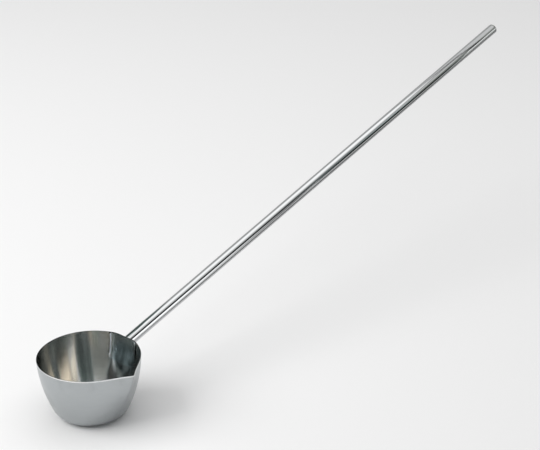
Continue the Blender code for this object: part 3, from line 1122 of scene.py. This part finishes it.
@dataclass
class BackingPlate:
    """The sheet inside the bowl that backs the handle, rippled where it is spot welded."""

    wall: WallForm
    width: float = 0.047
    side: float = 0.035
    bow: float = 0.005
    drop: float = 0.0005
    thickness: float = 0.0012
    corner_radius: float = 0.002
    seam: float = 0.0003
    edge_rounding: float = 0.00025
    edge_segments: int = 2
    edge_angle: float = math.radians(50.0)
    # Width of the strip along the +Y edge that carries the painted highlight
    highlight_strip: float = 0.0018
    lift: float = 0.0006
    lift_reach: float = 0.006
    spot_azimuth: float = math.radians(13.0)
    spot_drop: float = 0.024
    spot_radius: float = 0.0065
    spot_pitch: float = 0.0034
    spot_dent: float = 0.00022
    heat_reach: float = 0.006
    columns: int = 160
    rows: int = 120

    @property
    def top(self) -> float:
        """Height of the plate's upper edge."""
        return self.wall.height - self.drop

    def spots(self) -> np.ndarray:
        """The spot welds' centres on the wall, one row each."""
        azimuth = np.array((-self.spot_azimuth, self.spot_azimuth))
        return self.wall.point(azimuth, np.full(2, self.wall.height - self.spot_drop), -self.wall.sheet)

    def corner(self, across: np.ndarray) -> np.ndarray:
        """How far the rounded corners take the edge back, by distance from the middle."""
        past = np.maximum(np.abs(across) - self.width / 2 + self.corner_radius, 0.0)
        return self.corner_radius - np.sqrt(np.maximum(self.corner_radius ** 2 - past ** 2, 0.0))

    def face(self) -> np.ndarray:
        """The plate's face towards the bowl's middle.

        Returns:
            Points by row from the top, and column.
        """
        half = self.width / 2
        across = half * np.sin(np.linspace(-math.pi / 2, math.pi / 2, self.columns))[None, :]
        share = (0.5 - 0.5 * np.cos(np.linspace(0.0, math.pi, self.rows)))[:, None]
        bow_radius = (half ** 2 + self.bow ** 2) / (2 * self.bow)
        upper = self.top - self.corner(across)
        lower = self.top - self.side - self.bow + bow_radius - np.sqrt(bow_radius ** 2 - across ** 2)
        lower = lower + self.corner(across)
        height = upper + (lower - upper) * share
        offset = -self.wall.sheet - self.seam - self.thickness
        azimuth = np.arcsin(across / self.wall.radius(height, offset))
        points = self.wall.point(azimuth, height, offset)
        normals = self.wall.normal(azimuth, height, offset)
        out = np.zeros(height.shape)
        for spot in self.spots():
            gap = np.linalg.norm(points - spot, axis=-1)
            rings = np.cos(math.tau * gap / self.spot_pitch)
            out += self.spot_dent * np.exp(-(gap / self.spot_radius) ** 2) * rings
        spring = smooth_step((np.abs(across) - half + self.lift_reach) / self.lift_reach)
        out -= self.lift * spring * (1.0 - share) ** 2
        return points + out[..., None] * normals

    def dress(self, plate: bpy.types.Object) -> None:
        """Puts on the rolled finish, and along the edge at +Y a bright sheared finish that paints a
        highlight.

        Args:
            plate: the plate.
        """
        for finish in (ROLLED_PLATE, SHEARED_EDGE_HIGHLIGHT):
            plate.data.materials.append(finish.build())
        for polygon in plate.data.polygons:
            polygon.material_index = int(polygon.center.y > self.width / 2 - self.highlight_strip)

    def build(self) -> bpy.types.Object:
        """Makes the plate.

        Returns:
            The plate, thickened to the wall, with its edges eased, and dressed.
        """
        faces = []
        for row in range(self.rows - 1):
            for column in range(self.columns - 1):
                first = row * self.columns + column
                faces.append((first, first + 1, first + self.columns + 1, first + self.columns))
        mesh = new_mesh("backing_plate_face", self.face().reshape(-1, 3).tolist(), faces)
        blank = new_object("backing_plate_blank", mesh)
        outwards = sum(polygon.normal.x for polygon in mesh.polygons) > 0.0
        sheet = blank.modifiers.new("sheet", "SOLIDIFY")
        sheet.thickness = self.thickness
        sheet.offset = 1.0 if outwards else -1.0
        easing = blank.modifiers.new("easing", "BEVEL")
        easing.width = self.edge_rounding
        easing.segments = self.edge_segments
        easing.limit_method = "ANGLE"
        easing.angle_limit = self.edge_angle
        eased = blank.evaluated_get(bpy.context.evaluated_depsgraph_get())
        plate = closed_object("bent_backing_plate", bpy.data.meshes.new_from_object(eased))
        bpy.data.objects.remove(blank)
        self.dress(plate)
        return plate


@dataclass
class TackBeads:
    """Short weld beads in the corners between the plate's sides and the wall."""

    plate: BackingPlate
    radius: float = 0.0019
    length: float = 0.0055
    upper_drop: float = 0.0045
    lower_rise: float = 0.0025
    sink: float = 0.0004
    ripple: float = 0.00012
    ripples: int = 5
    around: int = 40
    along: int = 28

    def places(self) -> dict[str, tuple[float, float]]:
        """Where the beads lie.

        Returns:
            Each bead's angle and height, by the end of its node's name.
        """
        plate, found = self.plate, {}
        drops = {"upper": self.upper_drop, "lower": plate.drop + plate.side - self.lower_rise}
        for level, drop in drops.items():
            height = plate.wall.height - drop
            radius = float(plate.wall.radius(np.float64(height), -plate.wall.sheet))
            reach = math.asin(plate.width / 2 / radius)
            found[f"{level}_left"] = (-reach, height)
            found[f"{level}_right"] = (reach, height)
        return found

    def build(self) -> dict[str, bpy.types.Object]:
        """Makes the beads.

        Returns:
            The beads by the name of the CAD node that each stands for.
        """
        wall, made = self.plate.wall, {}
        # Bright beads at +Y paint a highlight, and near-black beads at -Y paint shade
        lit_and_shaded_tacks = {"left": TACK_SHADE.build(), "right": TACK_HIGHLIGHT.build()}
        tilt = np.linspace(-math.pi / 2, math.pi / 2, self.along + 2)[1:-1, None]
        turn = even_angles(self.around)[None, :]
        swell = 1.0 + self.ripple / self.radius * np.cos(tilt * self.ripples * 2.0 + np.cos(turn))
        inward = self.radius * swell * np.cos(tilt) * np.cos(turn)
        sideways = self.radius * swell * np.cos(tilt) * np.sin(turn)
        upward = np.broadcast_to(self.length / 2 * np.sin(tilt), inward.shape)
        inward = np.maximum(inward, -self.sink)
        for name, (azimuth, height) in self.places().items():
            place = wall.point(np.float64(azimuth), np.float64(height), -wall.sheet)
            out = np.array((math.cos(azimuth), math.sin(azimuth), 0.0))
            aside = np.array((-math.sin(azimuth), math.cos(azimuth), 0.0))
            up = np.array((0.0, 0.0, 1.0))
            rings = place + upward[..., None] * up - inward[..., None] * out + sideways[..., None] * aside
            ends = (place - self.length / 2 * up, place + self.length / 2 * up)
            bead = ringed_mesh(f"tack_bead_{name}", rings, *ends)
            _, side = name.split("_")
            bead.data.materials.append(lit_and_shaded_tacks[side])
            made[f"tack_weld_{name}"] = bead
        return made


@dataclass
class HandleTube:
    """The polished tube, coped to the wall at its foot."""

    form: HandleForm
    sides: int = 96
    rings: int = 48
    end_easing: float = 0.00025

    def build(self) -> bpy.types.Object:
        """Makes the tube.

        Returns:
            The tube with its bore.
        """
        form, angles = self.form, even_angles(self.sides)
        bore = form.radius - form.tube_wall
        end = form.length - form.cap_head - form.seam
        outer = form.foot(angles, form.radius, form.seam)
        inner = form.foot(angles, bore, form.seam)
        straight = ring_points(angles, form.radius, end - self.end_easing)
        rings = [outer + (straight - outer) * share for share in np.linspace(0.0, 1.0, self.rings)]
        rings.append(ring_points(angles, form.radius - self.end_easing, end))
        rings += [ring_points(angles, bore, end), inner]
        tube = ringed_mesh("polished_handle_tube", np.stack(rings))
        tube.matrix_world = form.axis
        tube.data.materials.append(MIRROR_TUBE.build())
        return tube


@dataclass
class EndCap:
    """The turned plug that closes the tube."""

    form: HandleForm
    edge_radius: float = 0.003
    spigot: float = 0.010
    clearance: float = 0.0003
    dome: float = 0.0002
    easing: float = 0.0002
    sides: int = 96
    edge_rows: int = 12
    face_rows: int = 8

    def build(self) -> bpy.types.Object:
        """Makes the cap.

        Returns:
            The cap, with its rounded head and the spigot that enters the tube.
        """
        form, angles = self.form, even_angles(self.sides)
        plug = form.radius - form.tube_wall - self.clearance
        flat = form.radius - self.edge_radius
        level, tip = form.cap_head - self.edge_radius, form.cap_head + self.dome
        profile = [
            (radius, form.cap_head + self.dome * (1.0 - (radius / flat) ** 2))
            for radius in np.linspace(0.0, flat, self.face_rows, endpoint=False)[1:]
        ]
        for turn in np.linspace(math.pi / 2, 0.0, self.edge_rows):
            out, up = self.edge_radius * math.cos(turn), self.edge_radius * math.sin(turn)
            profile.append((flat + out, level + up))
        profile += [(form.radius, self.easing), (form.radius - self.easing, 0.0)]
        profile += [(plug, 0.0), (plug, -self.spigot)]
        rings = np.stack([ring_points(angles, radius, height) for radius, height in profile])
        cap = ringed_mesh("turned_end_cap", rings, (0.0, 0.0, tip), (0.0, 0.0, -self.spigot))
        cap.matrix_world = form.axis @ Matrix.Translation((0.0, 0.0, form.length - form.cap_head))
        cap.data.materials.append(TURNED_CAP.build())
        return cap


@dataclass
class HandleWeld:
    """The fillet weld round the tube's foot, with the ripples of its run."""

    form: HandleForm
    leg: float = 0.0028
    ripples: int = 46
    ripple: float = 0.00014
    ripple_trail: float = 1.6
    steps_per_ripple: int = 8
    rows: int = 12
    sink: float = 0.06
    heat_reach: float = 0.012
    heat_stride: int = 4

    def angles(self) -> np.ndarray:
        """Angles round the tube of the weld's sections."""
        return even_angles(self.ripples * self.steps_per_ripple)

    def path(self) -> np.ndarray:
        """Points along the weld's root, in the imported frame."""
        return self.form.to_frame(self.form.foot(self.angles(), self.form.radius, 0.0))

    def heat_sources(self) -> np.ndarray:
        """Points along the weld that heat the steel near them, one row each."""
        return self.path()[::self.heat_stride]

    def build(self) -> bpy.types.Object:
        """Makes the bead.

        Returns:
            The bead, its toes on the tube and on the wall.
        """
        form, root, angles = self.form, self.path(), self.angles()
        turn = np.array(form.axis)[:3, :3]
        way = turn[:, 2]
        outwards = ring_points(angles, 1.0, 0.0) @ turn.T
        normals = form.wall.normal(np.arctan2(root[:, 1], root[:, 0]), root[:, 2], 0.0)
        along_wall = unit(outwards - np.sum(outwards * normals, axis=-1, keepdims=True) * normals)
        phase = angles * self.ripples
        sections = []
        for share in np.linspace(-self.sink, 1.0 + self.sink, self.rows):
            ray = unit((1.0 - share) * way + share * along_wall)
            trail = self.ripple_trail * (2.0 * share - 1.0) ** 2
            scallop = np.abs(np.sin((phase - trail) / 2.0))
            swell = self.leg + self.ripple * (scallop - 1.0) * math.sin(math.pi * np.clip(share, 0.0, 1.0))
            sections.append(root + swell[:, None] * ray)
        heel = root - self.sink * self.leg * (outwards + normals)
        bead = ringed_mesh("handle_fillet_bead", np.stack((*sections, heel)))
        bead.data.materials.append(WELD_METAL.build())
        return bead


# Studio


def plain_material(name: str, kind: str, colour: Colour) -> tuple[bpy.types.Material, bpy.types.Node]:
    """A material of one plain shader.

    Args:
        name: the material's name.
        kind: Blender's type name of the shader's node.
        colour: the shader's colour.

    Returns:
        The material and its shader node.
    """
    material = bpy.data.materials.new(name)
    material.use_nodes = True
    tree = material.node_tree
    tree.nodes.clear()
    shader = add_node(tree, kind)
    shader.inputs["Color"].default_value = (*colour, 1.0)
    feed(tree, add_node(tree, "ShaderNodeOutputMaterial").inputs["Surface"], shader.outputs[0])
    return material, shader


@dataclass(frozen=True)
class Card:
    """A flat studio card that only reflections see."""

    name: str
    centre: Point
    aim: Point
    width: float
    height: float
    colour: Colour
    edge: float = 1.0
    fade: tuple[float, float] = (0.5, 0.5)
    turn: float = 0.0
    footed: bool = False

    def matrix(self) -> Matrix:
        """The card's place.

        Returns:
            A matrix with its Z at the aim, and its Y as upright as can be before the card's turn.
        """
        facing = (Vector(self.aim) - Vector(self.centre)).normalized()
        upright = Vector((0.0, 1.0, 0.0)) if abs(facing.z) > STEEP else Vector((0.0, 0.0, 1.0))
        across = upright.cross(facing).normalized()
        stand = Matrix((across, facing.cross(across), facing)).transposed().to_4x4()
        return Matrix.Translation(self.centre) @ stand @ Matrix.Rotation(self.turn, 4, "Z")

    def skin(self) -> tuple[list[Point], list[tuple[int, ...]]]:
        """The card's corners, in its own axes, and its one face."""
        return rectangle(self.width, self.height)

    def level(self, tree: bpy.types.NodeTree) -> bpy.types.NodeSocket:
        """How bright the card is from place to place.

        Args:
            tree: the card's node tree.

        Returns:
            1 in the middle and the edge's level at the edges, but for the lower one where it is footed.
        """
        across, up, _ = axes_of(tree, add_node(tree, "ShaderNodeTexCoord").outputs["Generated"])
        inner: object = 1.0
        for place, fade, footed in ((across, self.fade[0], False), (up, self.fade[1], self.footed)):
            gap = calculate(tree, "SUBTRACT", 1.0, place)
            if not footed:
                gap = calculate(tree, "MINIMUM", gap, place)
            inner = calculate(tree, "MULTIPLY", inner, spread(tree, gap, (0.0, fade), (0.0, 1.0)))
        return calculate(tree, "MULTIPLY_ADD", inner, 1.0 - self.edge, self.edge)

    def material(self) -> bpy.types.Material:
        """The card's light.

        Returns:
            A plain glow, which changes towards the edges where their level differs.
        """
        material, light = plain_material(self.name, "ShaderNodeEmission", self.colour)
        if self.edge != 1.0:
            feed(material.node_tree, light.inputs["Strength"], self.level(material.node_tree))
        material.cycles.emission_sampling = "NONE"
        return material

    def build(self) -> bpy.types.Object:
        """Stands the card in the studio.

        Returns:
            The card.
        """
        card = new_object(self.name, new_mesh(self.name, *self.skin()))
        card.data.materials.append(self.material())
        card.matrix_world = self.matrix()
        card.visible_camera = False
        card.visible_diffuse = False
        card.visible_transmission = False
        card.visible_volume_scatter = False
        card.visible_shadow = False
        return card


@dataclass(frozen=True)
class Hoop(Card):
    """Part of a flat ring, such as the dark rim of a round reflector, whose diameter is the card's width."""

    span: tuple[float, float] = (0.0, math.tau)
    band: tuple[float, float] = (0.05, 0.05)
    steps: int = 48

    def skin(self) -> tuple[list[Point], list[tuple[int, ...]]]:
        """The ring's outline.

        Returns:
            Its points, in pairs from the one end of its span to the other, and its faces.
        """
        points = []
        bands = np.linspace(*self.band, self.steps + 1)
        for angle, band in zip(np.linspace(*self.span, self.steps + 1), bands):
            for radius in (self.width / 2 - band / 2, self.width / 2 + band / 2):
                points.append((radius * math.cos(angle), radius * math.sin(angle), 0.0))
        return points, [(2 * step, 2 * step + 1, 2 * step + 3, 2 * step + 2) for step in range(self.steps)]


def grey(level: float) -> Colour:
    """An even grey of one brightness."""
    return (level, level, level)


CARDS = (
    Card("overhead_softbox", (0.40, 0.2, 1.5), (0.40, 0.2, 0.0), 2.2, 2.7, grey(1.7),
         edge=0.2, fade=(0.10, 0.467)),
    Hoop("reflector_rim", (1.4, 0.235, 0.603), (0.0, 0.235, 0.603), 1.664, 1.664, grey(0.06),
         span=(math.radians(-2.0), math.radians(98.0)), band=(0.06, 0.045)),
    Card("pale_ceiling", (0.5, 0.0, 2.6), (0.5, 0.0, 0.0), 9.0, 9.0, grey(0.9)),
    Card("window_strip", (-0.987, 0.799, 1.2), (0.0, 0.0, 1.2), 0.26, 0.75, (2.4, 2.17, 1.8),
         edge=0.45, fade=(0.25, 0.12)),
    Card("window_side", (-1.29, 0.0, 1.1), (0.0, 0.0, 1.1), 1.61, 1.3, (1.8, 1.54, 1.22),
         edge=0.25, fade=(0.15, 0.5)),
    Card("window_return", (-0.61, 1.148, 1.0), (0.0, 0.0, 1.0), 0.65, 0.9, (0.50, 0.46, 0.39),
         edge=0.6, fade=(0.2, 0.2)),
    Card("tall_flag", (0.27, 0.805, 0.69), (0.27, 0.0, 0.383), 0.50, 1.434, (0.042, 0.056, 0.053),
         edge=4.0, fade=(0.15, 0.62), footed=True),
    Card("tall_flag_top", (0.23, 0.46, 1.47), (0.23, 0.46, 0.0), 0.24, 0.24, (0.10, 0.12, 0.115),
         edge=6.0, fade=(0.4, 0.4)),
    Card("low_flag_beside", (0.393, 0.524, 0.44), (-0.498, 0.978, 0.44), 1.05, 0.46, (0.11, 0.135, 0.13),
         edge=2.4, fade=(0.1, 0.2), turn=math.radians(-25.0)),
    Card("back_wall", (-0.2, 1.7, 1.35), (-0.2, 0.0, 1.35), 2.4, 2.7, (0.19, 0.205, 0.2)),
    Card("pale_back_wall", (2.1, 1.7, 1.35), (2.1, 0.0, 1.35), 2.2, 2.7, grey(0.55)),
    Card("right_wall", (2.3, -0.45, 1.1), (0.0, -0.45, 1.1), 3.6, 2.3, (0.255, 0.265, 0.248),
         edge=2.0, fade=(0.01, 0.45)),
    Card("front_right_flag", (0.425, -1.0, 0.97), (0.425, 0.0, 0.97), 2.15, 0.70, (0.02, 0.023, 0.023),
         edge=22.0, fade=(0.25, 0.05)),
    Card("low_reflector", (0.3, -1.02, 0.335), (0.3, 0.0, 0.335), 1.7, 0.57, grey(2.0),
         edge=0.1, fade=(0.294, 0.1)),
    Card("end_reflector", (1.82, -1.0, 0.57), (1.82, 0.0, 0.57), 0.55, 0.30, grey(1.6),
         edge=0.3, fade=(0.2, 0.2)),
    Card("low_flag", (1.045, -0.5, 0.36), (1.045, 0.0, 0.36), 0.47, 0.28, (0.02, 0.024, 0.024),
         edge=6.0, fade=(0.18, 0.08)),
    Card("handle_flag_near", (0.80, -0.10, 0.10), (0.80, 0.0, 0.10), 1.5, 0.2, grey(0.22),
         edge=2.2, fade=(0.2, 0.05), turn=math.radians(-14.0)),
    Card("handle_flag_far", (0.85, 0.012, 0.09), (0.85, -1.0, 0.09), 1.2, 0.2, grey(0.25),
         edge=2.2, fade=(0.2, 0.05), turn=math.radians(14.0)),
    Card("camera_side", (-1.6, -1.8, 1.0), (0.0, 0.0, 0.4), 4.0, 2.0, grey(0.22)),
)


@dataclass(frozen=True)
class Softlight:
    """A wide lamp that lights the floor and that reflections leave to the cards."""

    name: str
    place: Point
    aim: Point
    width: float
    height: float
    power: float

    def build(self) -> None:
        """Hangs the lamp."""
        light = bpy.data.lights.new(self.name, "AREA")
        light.shape = "RECTANGLE"
        light.size, light.size_y = self.width, self.height
        light.energy = self.power
        lamp = new_object(self.name, light)
        way = Vector(self.aim) - Vector(self.place)
        lamp.matrix_world = Matrix.Translation(self.place) @ way.to_track_quat("-Z", "Y").to_matrix().to_4x4()
        lamp.visible_glossy = False


LAMPS = (
    Softlight("key_light", (-2.0, 1.4, 2.2), (0.2, 0.0, 0.0), 2.6, 2.2, 68.0),
    Softlight("overhead_light", (0.6, 0.5, 3.2), (0.6, 0.5, 0.0), 5.0, 5.0, 72.0),
)


@dataclass
class Studio:
    """A pale floor in soft light, with cards for the metal to reflect."""

    floor_size: float = 40.0
    floor_colour: Colour = (0.90, 0.90, 0.90)
    ambient: float = 0.30
    lamps: tuple[Softlight, ...] = LAMPS
    cards: tuple[Card, ...] = CARDS

    def world(self) -> None:
        """White to the camera and in reflections, and a softer fill for the floor."""
        world = bpy.data.worlds.new("studio")
        bpy.context.scene.world = world
        world.use_nodes = True
        tree = world.node_tree
        rays = add_node(tree, "ShaderNodeLightPath")
        seen = calculate(tree, "ADD", rays.outputs["Is Camera Ray"], rays.outputs["Is Glossy Ray"])
        seen = calculate(tree, "ADD", seen, rays.outputs["Is Transmission Ray"])
        strength = add_node(tree, "ShaderNodeMapRange")
        for socket, value in zip(strength.inputs, (seen, 0.0, 1.0, self.ambient, 1.0)):
            feed(tree, socket, value)
        backdrop = tree.nodes["Background"]
        backdrop.inputs["Color"].default_value = (1.0, 1.0, 1.0, 1.0)
        feed(tree, backdrop.inputs["Strength"], strength.outputs[0])
        world.cycles.sampling_method = "NONE"

    def floor(self) -> None:
        """Lays the pale floor under the bowl's base."""
        mesh = new_mesh("studio_floor", *rectangle(self.floor_size, self.floor_size))
        material, _ = plain_material("pale_floor", "ShaderNodeBsdfDiffuse", self.floor_colour)
        mesh.materials.append(material)
        floor = new_object("studio_floor", mesh)

    def build(self) -> None:
        """Sets up the whole studio."""
        bpy.context.scene.view_settings.view_transform = "Standard"
        self.world()
        self.floor()
        for fixture in (*self.lamps, *self.cards):
            fixture.build()


@dataclass(frozen=True)
class Viewpoint:
    """The camera, where the photograph was taken from."""

    place: Point = (-1.3719, -1.5316, 1.2356)
    heading: float = math.radians(41.279)
    dip: float = math.radians(25.221)
    roll: float = math.radians(-1.102)
    focal_pixels: float = 1747.8
    picture_width: float = 540.0
    sensor: float = 36.0

    def build(self) -> None:
        """Sets up the scene's camera."""
        lens = bpy.data.cameras.new("viewpoint")
        lens.sensor_width = self.sensor
        lens.lens = self.focal_pixels / self.picture_width * self.sensor
        camera = new_object("viewpoint", lens)
        camera.matrix_world = (
            Matrix.Translation(self.place)
            @ Matrix.Rotation(self.heading - math.pi / 2, 4, "Z")
            @ Matrix.Rotation(math.pi / 2 - self.dip, 4, "X")
            @ Matrix.Rotation(self.roll, 4, "Z")
        )
        bpy.context.scene.camera = camera


def main() -> None:
    """Loads the frame, builds and dresses every piece, and sets up the studio."""
    logging.basicConfig(level=logging.INFO, format="%(message)s")
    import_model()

    wall = WallForm()
    form = HandleForm(wall)
    plate = BackingPlate(wall)
    tacks = TackBeads(plate)
    weld = HandleWeld(form)

    bowl = Bowl(wall).build()
    warm(bowl, weld.heat_sources(), weld.heat_reach)
    fit(bowl, "bowl")
    sheet = plate.build()
    warm(sheet, plate.spots(), plate.heat_reach)
    fit(sheet, "backing_plate")
    for node, bead in tacks.build().items():
        fit(bead, node)
    tube = HandleTube(form).build()
    warm(tube, weld.heat_sources(), weld.heat_reach)
    fit(tube, "handle_tube")
    fit(EndCap(form).build(), "end_cap")
    fit(weld.build(), "handle_weld")

    Studio().build()
    Viewpoint().build()


if __name__ == "__main__":
    main()
